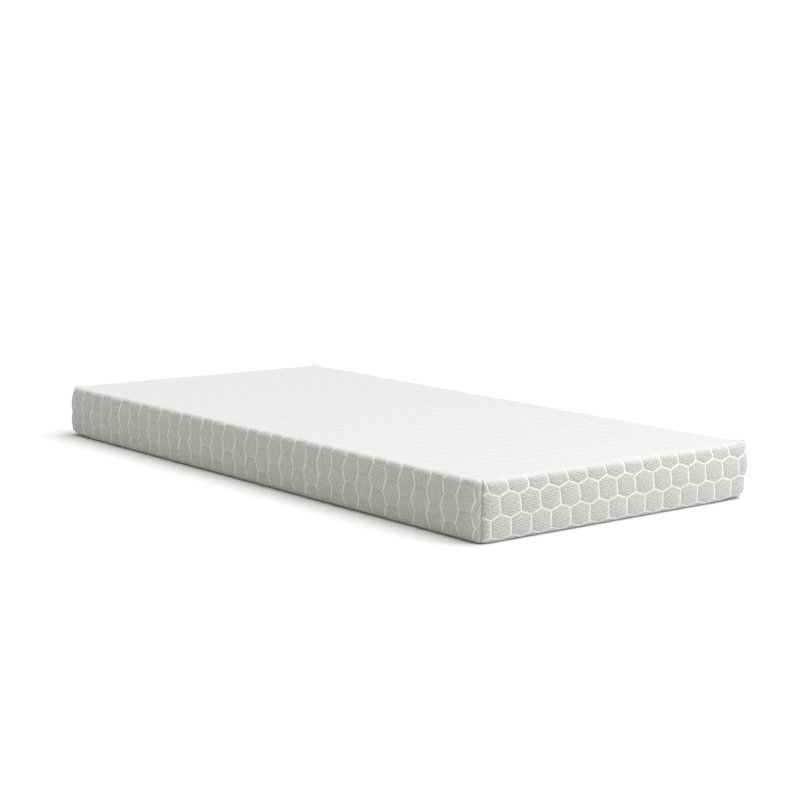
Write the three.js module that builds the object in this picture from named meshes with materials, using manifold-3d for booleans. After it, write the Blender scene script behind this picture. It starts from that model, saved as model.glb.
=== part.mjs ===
// A twin-size memory foam mattress: a two-layer foam core in a knitted fire sleeve, inside a
// removable knit cover whose rear side opens with a coil zip.
// Millimetres, +Z up. X runs along the length, Y across the width, and the origin is at the
// middle of the underside. The front is the -Y side, and the zip is on the +Y side.
import * as THREE from "three";
import Module from "manifold-3d";
import { mergeVertices } from "three/addons/utils/BufferGeometryUtils.js";

const wasm = await Module();
wasm.setup();

// ---------- driving dimensions ----------
const LENGTH = 1905; // 75 in
const WIDTH = 965; // 38 in
const HEIGHT = 152; // 6 in
const CORNER_RADIUS = 28; // upright corners, seen from above
const EDGE_RADIUS = 14; // top and bottom edges
const GAP = 0.3; // between touching pieces
const BEYOND = 50; // how far a cutting block reaches past what it cuts

const KNIT = 2.5; // thickness of the cover's quilted knit
const SLEEVE = 1; // thickness of the fire sleeve's knit
const SLEEVE_FLAP = 60; // from the mattress's end to the seam of the sleeve's end flap
const FOAM_EDGE = 6; // rounding of the foam's long edges
const MEMORY_LAYER = 38; // 1.5 in of memory foam
const ADHESIVE = 0.4;
const SIDE_ROOM = 3.2; // between cover and sleeve, for the seams, tapes and slider
const CORNER_SEGMENTS = 6;
const EDGE_SEGMENTS = 5;

// Underside seam, where the base cloth joins the cloth that wraps under the edges.
const UNDER_WRAP = 25;
const SEAM_TAPE_WIDTH = 12;
const SEAM_TAPE = 0.8;

// Upright corner seams.
const CORNER_SEAM = 1;
const CORNER_SEAM_ARC = Math.PI / 4.5;
const CORNER_SEAM_END = 16; // from the mattress's top and bottom

// Zip, measured from the middle of its chain.
const ZIP_HEIGHT = 34; // above the underside
const ZIP_SLOT = 7; // half the height of the slot in the cover
const TAPE = { near: 1, far: 16, thickness: 0.8 };
const COIL = { near: 0.8, far: 4.2, low: GAP, high: 2.5 };
const ZIP_END = 3; // from the slot's end to the tape's end
const STOP = { margin: 4, length: 6 };
const SLIDER = {
  length: 20,
  halfWidth: 6.4,
  tailHalfWidth: 5.8,
  flange: 1.2,
  plate: 1.4,
  plateLow: 2.9, // the outer plate's inner face, from the tapes' front
  nose: 3, // how far the narrow end is rounded
  inset: 1, // from the plates' wide end to the wedge and flanges
  web: 1, // thickness of the wedge between the coils
  wedge: 6, // its length
  join: 0.2, // how far the wedge and flanges run into the plates
};
const CROWN = { halfLength: 6.4, halfWidth: 1.2, thickness: 1.1, opening: 2.4, foot: 0.2 };
const PULL = {
  length: 34,
  window: 7.4, // from the hinge to the window's far end
  neck: 2, // from the window to where the tab starts to widen
  windowHalfWidth: 1.7,
  thickness: 1.3,
  halfWidth: 3.6,
  endHalfWidth: 5,
  hole: 2.5, // radius
};

const LABEL = { width: 80, height: 60, thickness: 0.4, low: 62, fromCornerSeam: 2 };

// ---------- derived places ----------
const HALF_LENGTH = LENGTH / 2;
const HALF_WIDTH = WIDTH / 2;
const SLEEVE_INSET = KNIT + SIDE_ROOM;
const FOAM_INSET = SLEEVE_INSET + SLEEVE + GAP;
const SLEEVE_LOW = KNIT + GAP + SEAM_TAPE + GAP;
const SLEEVE_HIGH = HEIGHT - KNIT - GAP;
const SLEEVE_EDGE = FOAM_EDGE + GAP + SLEEVE;
const FOAM_LOW = SLEEVE_LOW + SLEEVE + GAP;
const FOAM_HIGH = SLEEVE_HIGH - SLEEVE - GAP;
const PANEL_HALF_LENGTH = HALF_LENGTH - UNDER_WRAP;
const PANEL_HALF_WIDTH = HALF_WIDTH - UNDER_WRAP;
const TAPE_HALF_LENGTH = PANEL_HALF_LENGTH - ZIP_END;
const STOP_END = TAPE_HALF_LENGTH - STOP.margin;
const COIL_HALF_LENGTH = STOP_END - STOP.length - GAP;
const SLIDER_CLOSED = -(COIL_HALF_LENGTH - SLIDER.length / 2 - GAP);
const TAPE_FRONT = HALF_WIDTH - KNIT - GAP; // Y of the tapes' outer faces
const PLATE_HIGH = SLIDER.plateLow + SLIDER.plate;
const PIVOT_OFF_TAPE = PLATE_HIGH + CROWN.opening / 2;

// ---------- materials ----------
const material = (color, roughness, metalness = 0) =>
  new THREE.MeshStandardMaterial({ color, roughness, metalness });
const MATERIALS = {
  coverKnit: material(0xd9d8d4, 0.95),
  baseCloth: material(0xd0cfcb, 0.95),
  seamThread: material(0xeeeeec, 0.85),
  zipTape: material(0xe4e4e1, 0.9),
  zipCoil: material(0xeeeeec, 0.5),
  zipMetal: material(0xb4b6b8, 0.35, 1),
  sleeveKnit: material(0xf2f1ec, 0.95),
  memoryFoam: material(0xe8eaf0, 0.9),
  adhesive: material(0xf0ead8, 0.6),
  supportFoam: material(0xf5f3ea, 0.95),
  label: material(0xf7f7f5, 0.8),
};

// ---------- solids ----------
const toSolid = (geometry) => {
  const bare = geometry.clone();
  bare.deleteAttribute("normal");
  bare.deleteAttribute("uv");
  const merged = mergeVertices(bare, 1e-4);
  return new wasm.Manifold(
    new wasm.Mesh({
      numProp: 3,
      vertProperties: new Float32Array(merged.attributes.position.array),
      triVerts: new Uint32Array(merged.index.array),
    }),
  );
};

const toGeometry = (solid) => {
  const mesh = solid.getMesh();
  return new THREE.BufferGeometry()
    .setAttribute("position", new THREE.BufferAttribute(mesh.vertProperties, 3))
    .setIndex(new THREE.BufferAttribute(mesh.triVerts, 1));
};

// A box between two corners, given as [low, high] along each axis.
const block = ([x0, x1], [y0, y1], [z0, z1]) =>
  new THREE.BoxGeometry(x1 - x0, y1 - y0, z1 - z0).translate(
    (x0 + x1) / 2,
    (y0 + y1) / 2,
    (z0 + z1) / 2,
  );

const roundedRectangle = (halfX, halfY, radius) => {
  const cx = halfX - radius;
  const cy = halfY - radius;
  const quarter = Math.PI / 2;
  return new THREE.Shape()
    .absarc(cx, cy, radius, 0, quarter)
    .absarc(-cx, cy, radius, quarter, 2 * quarter)
    .absarc(-cx, -cy, radius, 2 * quarter, 3 * quarter)
    .absarc(cx, -cy, radius, 3 * quarter, 4 * quarter);
};

// The mattress's outline pulled in by inset, from low to high, with rounded top and bottom edges.
const slab = (inset, low, high, edge) =>
  new THREE.ExtrudeGeometry(
    roundedRectangle(
      HALF_LENGTH - inset - edge,
      HALF_WIDTH - inset - edge,
      CORNER_RADIUS - inset - edge,
    ),
    {
      depth: high - low - 2 * edge,
      bevelThickness: edge,
      bevelSize: edge,
      bevelSegments: EDGE_SEGMENTS,
      curveSegments: CORNER_SEGMENTS,
    },
  ).translate(0, 0, low + edge);

const piece = (name, geometry, look) => {
  const mesh = new THREE.Mesh(geometry, look);
  mesh.name = name;
  return mesh;
};

// ---------- cover ----------
// The base cloth lies under the mattress and turns up the rear side as far as the zip.
const basePanelSpace = (gap) =>
  block(
    [-PANEL_HALF_LENGTH - gap, PANEL_HALF_LENGTH + gap],
    [-PANEL_HALF_WIDTH - gap, HALF_WIDTH + BEYOND],
    [-BEYOND, ZIP_HEIGHT - ZIP_SLOT],
  );

const cover = () => {
  const shell = toSolid(slab(0, 0, HEIGHT, EDGE_RADIUS)).subtract(
    toSolid(slab(KNIT, KNIT, HEIGHT - KNIT, EDGE_RADIUS - KNIT)),
  );
  const zipSlot = block(
    [-PANEL_HALF_LENGTH - GAP, PANEL_HALF_LENGTH + GAP],
    [HALF_WIDTH - 2 * KNIT, HALF_WIDTH + BEYOND],
    [ZIP_HEIGHT - 2 * ZIP_SLOT, ZIP_HEIGHT + ZIP_SLOT],
  );
  const topAndSides = shell.subtract(toSolid(basePanelSpace(GAP))).subtract(toSolid(zipSlot));
  const base = shell.intersect(toSolid(basePanelSpace(0)));
  return [
    piece("cover_top_and_sides", toGeometry(topAndSides), MATERIALS.coverKnit),
    piece("cover_base_panel", toGeometry(base), MATERIALS.baseCloth),
  ];
};

// The overlocked seam allowance inside each upright corner, as a strip that follows the corner.
const cornerSeams = () => {
  const outer = CORNER_RADIUS - KNIT - GAP;
  const strip = new THREE.Shape()
    .absarc(0, 0, outer, -CORNER_SEAM_ARC / 2, CORNER_SEAM_ARC / 2)
    .absarc(0, 0, outer - CORNER_SEAM, CORNER_SEAM_ARC / 2, -CORNER_SEAM_ARC / 2, true);
  const corners = [
    ["front_right", 1, -1],
    ["front_left", -1, -1],
    ["rear_left", -1, 1],
    ["rear_right", 1, 1],
  ];
  return corners.map(([place, x, y]) => {
    const geometry = new THREE.ExtrudeGeometry(strip, {
      depth: HEIGHT - 2 * CORNER_SEAM_END,
      bevelEnabled: false,
      curveSegments: CORNER_SEGMENTS,
    });
    const mesh = piece(`corner_seam_${place}`, geometry, MATERIALS.seamThread);
    mesh.rotation.z = Math.atan2(y, x);
    mesh.position.set(
      x * (HALF_LENGTH - CORNER_RADIUS),
      y * (HALF_WIDTH - CORNER_RADIUS),
      CORNER_SEAM_END,
    );
    return mesh;
  });
};

// The tape that binds the seam under both ends and the front, as a U that is open at the rear.
const undersideSeamTape = () => {
  const half = SEAM_TAPE_WIDTH / 2;
  const rear = PANEL_HALF_WIDTH;
  const outerX = PANEL_HALF_LENGTH + half;
  const innerX = PANEL_HALF_LENGTH - half;
  const outline = new THREE.Shape()
    .moveTo(-outerX, rear)
    .lineTo(-outerX, -PANEL_HALF_WIDTH - half)
    .lineTo(outerX, -PANEL_HALF_WIDTH - half)
    .lineTo(outerX, rear)
    .lineTo(innerX, rear)
    .lineTo(innerX, -PANEL_HALF_WIDTH + half)
    .lineTo(-innerX, -PANEL_HALF_WIDTH + half)
    .lineTo(-innerX, rear)
    .closePath();
  const geometry = new THREE.ExtrudeGeometry(outline, { depth: SEAM_TAPE, bevelEnabled: false });
  const mesh = piece("underside_seam_tape", geometry, MATERIALS.seamThread);
  mesh.position.z = KNIT + GAP;
  return mesh;
};

// A blank sewn-in care label, caught in the rear left corner seam and lying on the rear side.
const careLabel = () => {
  const left = -HALF_LENGTH + CORNER_RADIUS + LABEL.fromCornerSeam;
  const geometry = block(
    [left, left + LABEL.width],
    [HALF_WIDTH + GAP, HALF_WIDTH + GAP + LABEL.thickness],
    [LABEL.low, LABEL.low + LABEL.height],
  );
  return piece("care_label", geometry, MATERIALS.label);
};

// ---------- core ----------
// The fire sleeve is a knitted bag, closed at one end by a separate flap sewn across it.
const fireSleeve = () => {
  const bag = toSolid(slab(SLEEVE_INSET, SLEEVE_LOW, SLEEVE_HIGH, SLEEVE_EDGE)).subtract(
    toSolid(
      slab(
        SLEEVE_INSET + SLEEVE,
        SLEEVE_LOW + SLEEVE,
        SLEEVE_HIGH - SLEEVE,
        SLEEVE_EDGE - SLEEVE,
      ),
    ),
  );
  const seam = HALF_LENGTH - SLEEVE_FLAP;
  const stretch = (low, high) => block([low, high], [-WIDTH, WIDTH], [-HEIGHT, 2 * HEIGHT]);
  const body = bag.intersect(toSolid(stretch(-LENGTH, seam)));
  const flap = bag.intersect(toSolid(stretch(seam + GAP, LENGTH)));
  return [
    piece("fire_sleeve_bag", toGeometry(body), MATERIALS.sleeveKnit),
    piece("fire_sleeve_end_flap", toGeometry(flap), MATERIALS.sleeveKnit),
  ];
};

// Memory foam, a film of adhesive, and the firmer support foam below it.
const foamCore = () => {
  const whole = toSolid(slab(FOAM_INSET, FOAM_LOW, FOAM_HIGH, FOAM_EDGE));
  const layer = (low, high) =>
    toGeometry(whole.intersect(toSolid(block([-LENGTH, LENGTH], [-WIDTH, WIDTH], [low, high]))));
  const memoryLow = FOAM_HIGH - MEMORY_LAYER;
  const filmLow = memoryLow - GAP - ADHESIVE;
  return [
    piece("memory_foam_layer", layer(memoryLow, FOAM_HIGH + GAP), MATERIALS.memoryFoam),
    piece("foam_adhesive_film", layer(filmLow, filmLow + ADHESIVE), MATERIALS.adhesive),
    piece("support_foam_core", layer(FOAM_LOW - GAP, filmLow - GAP), MATERIALS.supportFoam),
  ];
};

// ---------- zip ----------
// In the zip's own group, X runs along the chain, Y points out of the cover from the tapes' front
// faces, and Z is up across the chain.
const SIDES = [
  ["upper", 1],
  ["lower", -1],
];

// A bar on one side of the chain: sign is 1 above the chain's middle and -1 below it.
const chainBar = (sign, [x0, x1], [near, far], [y0, y1]) => {
  const z = [sign * near, sign * far].sort((a, b) => a - b);
  return block([x0, x1], [y0, y1], z);
};

const zipTape = ([place, sign]) =>
  piece(
    `zip_tape_${place}`,
    chainBar(
      sign,
      [-TAPE_HALF_LENGTH, TAPE_HALF_LENGTH],
      [TAPE.near, TAPE.far],
      [-TAPE.thickness, 0],
    ),
    MATERIALS.zipTape,
  );

const zipCoil = ([place, sign]) =>
  piece(
    `zip_coil_${place}`,
    chainBar(
      sign,
      [-COIL_HALF_LENGTH, COIL_HALF_LENGTH],
      [COIL.near, COIL.far],
      [COIL.low, COIL.high],
    ),
    MATERIALS.zipCoil,
  );

const zipTopStop = ([place, sign]) =>
  piece(
    `zip_top_stop_${place}`,
    chainBar(
      sign,
      [-STOP_END, -STOP_END + STOP.length],
      [COIL.near, COIL.far],
      [COIL.low, COIL.high],
    ),
    MATERIALS.zipMetal,
  );

const zipBottomStop = () =>
  piece(
    "zip_bottom_stop",
    block(
      [STOP_END - STOP.length, STOP_END],
      [COIL.low, COIL.high],
      [-COIL.far, COIL.far],
    ),
    MATERIALS.zipMetal,
  );

// A plate of the slider, with the shape seen from outside and its wide end towards -X.
const sliderPlate = (low, high) => {
  const half = SLIDER.length / 2;
  const wide = SLIDER.halfWidth;
  const tail = SLIDER.tailHalfWidth;
  const nose = SLIDER.nose;
  const outline = new THREE.Shape()
    .moveTo(half - nose, -tail)
    .quadraticCurveTo(half, -tail, half, 0)
    .quadraticCurveTo(half, tail, half - nose, tail)
    .lineTo(0, tail)
    .lineTo(-half / 2, wide)
    .quadraticCurveTo(-half, wide, -half, wide / 2)
    .lineTo(-half, -wide / 2)
    .quadraticCurveTo(-half, -wide, -half / 2, -wide)
    .lineTo(0, -tail)
    .closePath();
  return new THREE.ExtrudeGeometry(outline, {
    depth: high - low,
    bevelEnabled: false,
    curveSegments: CORNER_SEGMENTS,
  })
    .rotateX(Math.PI / 2)
    .translate(0, high, 0);
};

// The arch on the slider that the pull tab hangs from.
const sliderCrown = () => {
  const arch = (reach, high, halfWidth) =>
    toSolid(
      new THREE.ExtrudeGeometry(
        new THREE.Shape()
          .moveTo(-reach, -CROWN.foot)
          .lineTo(-reach, high / 2)
          .quadraticCurveTo(-reach, high, -reach / 2, high)
          .lineTo(reach / 2, high)
          .quadraticCurveTo(reach, high, reach, high / 2)
          .lineTo(reach, -CROWN.foot)
          .closePath(),
        { depth: 2 * halfWidth, bevelEnabled: false, curveSegments: CORNER_SEGMENTS },
      ).translate(0, PLATE_HIGH, -halfWidth),
    );
  const outside = arch(CROWN.halfLength, CROWN.opening + CROWN.thickness, CROWN.halfWidth);
  const inside = arch(CROWN.halfLength - CROWN.thickness, CROWN.opening, 2 * CROWN.halfWidth);
  return outside.subtract(inside);
};

// Two plates joined by a wedge in the chain's gap, with a flange over each coil's outer side.
const zipSlider = () => {
  const half = SLIDER.length / 2;
  const innerHigh = -TAPE.thickness - GAP;
  const innerPlate = sliderPlate(innerHigh - SLIDER.plate, innerHigh);
  const outerPlate = sliderPlate(SLIDER.plateLow, PLATE_HIGH);
  const wedge = block(
    [-half + SLIDER.inset, -half + SLIDER.inset + SLIDER.wedge],
    [innerHigh - SLIDER.join, SLIDER.plateLow + SLIDER.join],
    [-SLIDER.web / 2, SLIDER.web / 2],
  );
  const flanges = SIDES.map(([, sign]) =>
    chainBar(
      sign,
      [-half + SLIDER.inset, half - SLIDER.nose],
      [SLIDER.tailHalfWidth - SLIDER.flange, SLIDER.tailHalfWidth],
      [COIL.low + GAP / 2, SLIDER.plateLow + SLIDER.join],
    ),
  );
  const solid = [innerPlate, outerPlate, wedge, ...flanges]
    .map(toSolid)
    .reduce((sum, part) => sum.add(part), sliderCrown());
  return piece("zip_slider", toGeometry(solid), MATERIALS.zipMetal);
};

// The pull tab, from its hinge bar at the origin out along +X.
const pullTab = () => {
  const bar = PULL.thickness / 2;
  const neck = PULL.window + PULL.neck;
  const endCentre = PULL.length - PULL.endHalfWidth;
  const tab = new THREE.Shape()
    .moveTo(-bar, -PULL.halfWidth)
    .lineTo(neck, -PULL.halfWidth)
    .lineTo(endCentre, -PULL.endHalfWidth)
    .absarc(endCentre, 0, PULL.endHalfWidth, -Math.PI / 2, Math.PI / 2)
    .lineTo(neck, PULL.halfWidth)
    .lineTo(-bar, PULL.halfWidth)
    .closePath();
  const opening = new THREE.Path()
    .moveTo(bar, -PULL.windowHalfWidth)
    .lineTo(PULL.window, -PULL.windowHalfWidth)
    .lineTo(PULL.window, PULL.windowHalfWidth)
    .lineTo(bar, PULL.windowHalfWidth)
    .closePath();
  const hole = new THREE.Path().absarc(endCentre, 0, PULL.hole, 0, 2 * Math.PI, true);
  tab.holes.push(opening, hole);
  const geometry = new THREE.ExtrudeGeometry(tab, {
    depth: PULL.thickness,
    bevelEnabled: false,
    curveSegments: CORNER_SEGMENTS,
  })
    .translate(0, 0, -bar)
    .rotateX(-Math.PI / 2);
  const mesh = piece("zip_pull_tab", geometry, MATERIALS.zipMetal);
  mesh.position.y = PIVOT_OFF_TAPE;
  return mesh;
};

const zip = () => {
  const slider = new THREE.Group().add(zipSlider(), pullTab());
  slider.position.x = SLIDER_CLOSED;
  const group = new THREE.Group().add(
    ...SIDES.flatMap((side) => [zipTape(side), zipCoil(side), zipTopStop(side)]),
    zipBottomStop(),
    slider,
  );
  group.position.set(0, TAPE_FRONT, ZIP_HEIGHT);
  return group;
};

const mattress = new THREE.Group().add(
  ...cover(),
  ...cornerSeams(),
  undersideSeamTape(),
  careLabel(),
  ...fireSleeve(),
  ...foamCore(),
  zip(),
);

export default mattress;
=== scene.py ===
"""The looks of a twin-size memory foam mattress: a quilted honeycomb knit cover over a foam core.

The cover is drawn as the flat cloth that it was cut from, with its honeycomb of padded cells, and
then folded over the foam. Twelve cells are inflated by cloth simulation, and every cell of the cover
takes the shape of one of them.
Metres, with +X along the mattress, +Y towards the zip side and +Z up.
"""

import math
import random

import bmesh
import bpy
import numpy as np
from mathutils import Matrix, Vector
from mathutils.bvhtree import BVHTree


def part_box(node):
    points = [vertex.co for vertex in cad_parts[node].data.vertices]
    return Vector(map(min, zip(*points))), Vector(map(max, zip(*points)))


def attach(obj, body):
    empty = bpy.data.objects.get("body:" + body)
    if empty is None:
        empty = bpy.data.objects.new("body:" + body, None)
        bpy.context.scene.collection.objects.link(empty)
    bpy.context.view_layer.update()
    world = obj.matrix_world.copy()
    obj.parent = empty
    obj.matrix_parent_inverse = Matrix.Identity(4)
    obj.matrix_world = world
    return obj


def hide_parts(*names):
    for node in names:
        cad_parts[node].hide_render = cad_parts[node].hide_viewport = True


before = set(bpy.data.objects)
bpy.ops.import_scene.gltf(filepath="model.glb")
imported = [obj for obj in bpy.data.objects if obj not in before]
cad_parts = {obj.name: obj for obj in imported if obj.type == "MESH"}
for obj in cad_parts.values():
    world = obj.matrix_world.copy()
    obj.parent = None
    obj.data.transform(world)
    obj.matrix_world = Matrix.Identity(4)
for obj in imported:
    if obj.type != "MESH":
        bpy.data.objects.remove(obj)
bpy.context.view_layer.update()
MM = 0.001
SEED = 7

# ---------- sizes taken from the frame ----------
COVER_LOW, COVER_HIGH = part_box("cover_top_and_sides")
HALF_LENGTH, HALF_WIDTH, HEIGHT = COVER_HIGH
BASE_LOW, BASE_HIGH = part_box("cover_base_panel")
PANEL_HALF_LENGTH = BASE_HIGH.x
PANEL_FRONT = BASE_LOW.y
ZIP_Z = (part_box("zip_tape_upper")[0].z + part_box("zip_tape_lower")[1].z) / 2
ZIP_SLOT = ZIP_Z - BASE_HIGH.z  # half the height of the slot for the zip
SLOT_TOP = HALF_WIDTH + HEIGHT - (ZIP_Z + ZIP_SLOT)  # its upper edge, as a y of the flat cloth

# ---------- the cover's form ----------
EDGE = 18 * MM  # radius of the top edge
LOW_EDGE = 15 * MM  # radius of the bottom edge
CORNER = 28 * MM  # radius of the upright corners
WRAP = HALF_LENGTH - PANEL_HALF_LENGTH  # how far the cloth turns in under the mattress
BULGE = 5.5 * MM  # how far the sides swell at mid height
SINK = 1.2 * MM  # the quilting lines lie this far inside the mattress's nominal surface
GROOVE = 1.7 * MM  # depth of the corner seams
TUCK = 0.8 * MM  # how far the cloth beside them is drawn in as well
CORNER_LIFT = {(1, -1): 0, (1, 1): 13 * MM, (-1, -1): 7 * MM, (-1, 1): 10 * MM}  # off the floor
LIFT_REACH = 65 * MM  # how far from the corner that goes
CORNER_PEAK = {(1, -1): 1 * MM, (1, 1): 11 * MM, (-1, -1): 2 * MM, (-1, 1): 8 * MM}  # at the top
PEAK_REACH = 36 * MM
UNDER_GROOVE = 1.6 * MM  # depth of the seams round the underside
PRESSED = 14 * MM  # below this height the cells are pressed flat
OFF_FLOOR = 0.4 * MM  # the lowest that the cloth lies
HEM = [1 * MM, 2.5 * MM, 6 * MM]  # rows of the cloth that is turned in at its edges
PUFF = 4.8 * MM  # from a quilting line to the crown of a cell on the sides
TOP_PUFF = 1.3 * MM  # the same on top, where the cloth is stretched flatter

# ---------- the honeycomb, on the flat cloth ----------
ROW_PITCH = 54.5 * MM  # from row to row along the mattress
CELL_PITCH = 66.5 * MM  # from cell to cell across it
LONG_EDGE = 43 * MM  # the cell's edges that run along the mattress
FIRST_ROW = -14.25 * MM  # a row's middle, measured from the right-hand end
FIRST_CELL = 53.45 * MM  # a cell's middle in that row, measured from the front side
END_TAKEN = 7 * MM  # cloth taken up below the right-hand end's edge
END_STRETCH = 6 * MM  # and as much more above it
END_STRETCH_FROM, END_STRETCH_TO = -40 * MM, 50 * MM
END_SKEW = 0.113  # sideways lean of the columns on the right-hand end
END_SHIFT = 5.5 * MM  # sideways step of the columns over its top edge
PER_SIDE = 4  # mesh steps along each side of a cell
RINGS = np.array([0, 0.42, 0.66, 0.84, 0.94, 1])  # from a cell's middle to its quilting line
VARIANTS = 12  # differently inflated cells


def smooth(low, high, x):
    """0 below low and 1 above high, with an easy turn at both."""
    t = np.clip((np.asarray(x, float) - low) / (high - low), 0, 1)
    return t * t * (3 - 2 * t)


def ripple(x, y, wavelength, seed):
    """Smooth, seeded unevenness between about -1 and 1."""
    draw = random.Random(seed)
    total = np.zeros(np.shape(x))
    for _ in range(6):
        turn = draw.uniform(0, math.tau)
        wave = wavelength * draw.uniform(0.7, 1.6)
        along = (x * math.cos(turn) + y * math.sin(turn)) / wave
        total += np.sin(math.tau * along + draw.uniform(0, math.tau))
    return total / 3


def add_to_scene(name, data):
    made = bpy.data.objects.new(name, data)
    bpy.context.scene.collection.objects.link(made)
    return made


def make_object(name, vertices, faces):
    mesh = bpy.data.meshes.new(name)
    mesh.from_pydata([tuple(v) for v in vertices], [], [tuple(f) for f in faces])
    mesh.update()
    return add_to_scene(name, mesh)


def shade_smooth(piece):
    piece.data.polygons.foreach_set("use_smooth", [True] * len(piece.data.polygons))


def points_of(mesh):
    return np.array([v.co for v in mesh.vertices])


def normals_of(mesh):
    return np.array([v.vector for v in mesh.vertex_normals])


def unit(vectors):
    return vectors / np.linalg.norm(vectors, axis=-1)[..., None]


def bell(distance, width):
    """1 at no distance, and fading away over a few widths."""
    return np.exp(-((distance / width) ** 2))


def grid_faces(rows, columns, around=False):
    """Quads over points numbered row by row. Around joins each row's last point to its first."""
    faces = []
    for low in range(0, (rows - 1) * columns, columns):
        for j in range(columns if around else columns - 1):
            n = (j + 1) % columns
            faces.append((low + j, low + n, low + columns + n, low + columns + j))
    return faces


def tube_faces(first, steps, sides):
    """Quads round a tube whose rings of points are numbered from first on, and its two ends."""
    faces = [tuple(first + k for k in range(sides))]
    for s in range(steps - 1):
        low, high = first + s * sides, first + (s + 1) * sides
        for k in range(sides):
            n = (k + 1) % sides
            faces.append((low + k, high + k, high + n, low + n))
    faces.append(tuple(first + steps * sides - 1 - k for k in range(sides)))
    return faces


def thicken(piece, thickness, offset):
    solid = piece.modifiers.new("thickness", "SOLIDIFY")
    solid.thickness, solid.offset = thickness, offset


def set_points(mesh, points):
    mesh.vertices.foreach_set("co", points.ravel())
    mesh.update()


def add_attribute(mesh, name, values):
    layer = mesh.attributes.new(name, "FLOAT", "POINT")
    layer.data.foreach_set("value", values.astype(np.float32))


def add_uv(mesh, name, values):
    layer = mesh.uv_layers.new(name=name)
    corners = np.zeros(len(mesh.loops), int)
    mesh.loops.foreach_get("vertex_index", corners)
    layer.data.foreach_set("uv", values[corners].astype(np.float32).ravel())


# ---------- folding the flat cloth over the mattress ----------
# A point of the flat cloth is (x, y) as if the sides were folded out level with the top, with
# sharp edges. Down is how far the point is inside the nearest edge: negative on a side.
def level(down):
    """(inset, corner radius, height) of the mattress's outline at that distance from the edge."""
    top = np.clip((EDGE - down) / (2 * EDGE), 0, 1) * math.pi / 2
    low = np.clip((-down - (HEIGHT - LOW_EDGE)) / (2 * LOW_EDGE), 0, 1) * math.pi / 2
    under = np.maximum(-down - HEIGHT - LOW_EDGE, 0)
    inset = EDGE * (1 - np.sin(top)) + LOW_EDGE * (1 - np.cos(low)) + under
    radius = np.maximum(CORNER * np.sin(top) - LOW_EDGE * (1 - np.cos(low)) - under, 2 * MM)
    wall = np.clip(-down - EDGE, 0, HEIGHT - EDGE - LOW_EDGE)
    height = HEIGHT - EDGE * (1 - np.cos(top)) - wall - LOW_EDGE * np.sin(low)
    radius = np.where(top < 1e-6, 0, np.minimum(radius, CORNER * np.sin(top)))
    return inset, radius, height


def seam_place(down):
    """Where the corner seam lies, as a distance from the other edge."""
    return np.clip((down + EDGE) / 2, 0, EDGE)


def fold(x, y):
    """The folded places of flat points, as an array of 3-D points."""
    a, b = HALF_LENGTH - np.abs(x), HALF_WIDTH - np.abs(y)
    on_end = a < b
    down, along = np.where(on_end, a, b), np.where(on_end, b, a)
    inset, radius, height = level(down)
    straight, seam = inset + radius, seam_place(down)
    turn = np.clip((straight - along) / np.maximum(straight - seam, 1e-9), 0, 1) * math.pi / 4
    corner = along < straight
    off_wall = np.where(corner, straight - radius * np.cos(turn), inset)
    off_end = np.where(corner, straight - radius * np.sin(turn), along)
    flat = down >= EDGE
    off_wall = np.where(flat, down, off_wall)
    off_end = np.where(flat, along, off_end)
    behind = np.sign(y) * (HALF_WIDTH - np.where(on_end, off_end, off_wall))
    stands_out = swell(height, behind)
    off_wall = off_wall - stands_out * np.cos(turn)
    off_end = off_end - stands_out * np.sin(turn)
    from_x = np.where(on_end, off_wall, off_end)
    from_y = np.where(on_end, off_end, off_wall)
    return np.stack(
        [np.sign(x) * (HALF_LENGTH - from_x), np.sign(y) * (HALF_WIDTH - from_y), height], axis=-1
    )


def swell(height, y):
    """How far a side stands out at that height. The rear side lies flat near the zip."""
    rise = np.clip((height - LOW_EDGE / 2) / (HEIGHT - EDGE / 2 - LOW_EDGE / 2), 0, 1)
    rear = smooth(HALF_WIDTH - 60 * MM, HALF_WIDTH - 8 * MM, y)
    flat = rear * (1 - smooth(50 * MM, 90 * MM, height))
    return BULGE * np.sin(math.pi * rise) * (1 - flat)


def settle(points):
    """Lifts the bottom corners a little off the floor, and peaks the top ones."""
    points = np.array(points, float)
    x, y, z = points.T.copy()
    from_x, from_y = HALF_LENGTH - np.abs(x), HALF_WIDTH - np.abs(y)
    apart = np.hypot(np.maximum(from_x, 0), np.maximum(from_y, 0))
    near_floor = bell(apart, LIFT_REACH) * (1 - smooth(0, BASE_HIGH.z, z))
    near_top = bell(apart, PEAK_REACH) * smooth(0.6 * HEIGHT, HEIGHT, z)
    for corner, lift in CORNER_LIFT.items():
        here = (x * corner[0] > 0) & (y * corner[1] > 0)
        points[:, 2] += np.where(here, lift * near_floor + CORNER_PEAK[corner] * near_top, 0)
    return points


# ---------- the honeycomb ----------
def end_taken(from_end):
    return END_TAKEN + END_STRETCH * smooth(END_STRETCH_FROM, END_STRETCH_TO, from_end)


def end_sideways(from_end):
    """How far the columns stray towards the front over the right-hand end."""
    return END_SHIFT * smooth(40 * MM, -10 * MM, from_end) + END_SKEW * np.minimum(from_end, 0)


def to_pattern(x, y):
    """Flat cloth to the plane in which the honeycomb is regular."""
    from_end, from_front = HALF_LENGTH - x, y + HALF_WIDTH
    return from_end - end_taken(from_end), from_front + end_sideways(from_end)


def from_pattern(p, q):
    """The inverse of to_pattern."""
    from_end = np.array(p, float)
    for _ in range(30):
        from_end = p + end_taken(from_end)
    from_front = q - end_sideways(from_end)
    return HALF_LENGTH - from_end, from_front - HALF_WIDTH


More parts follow.
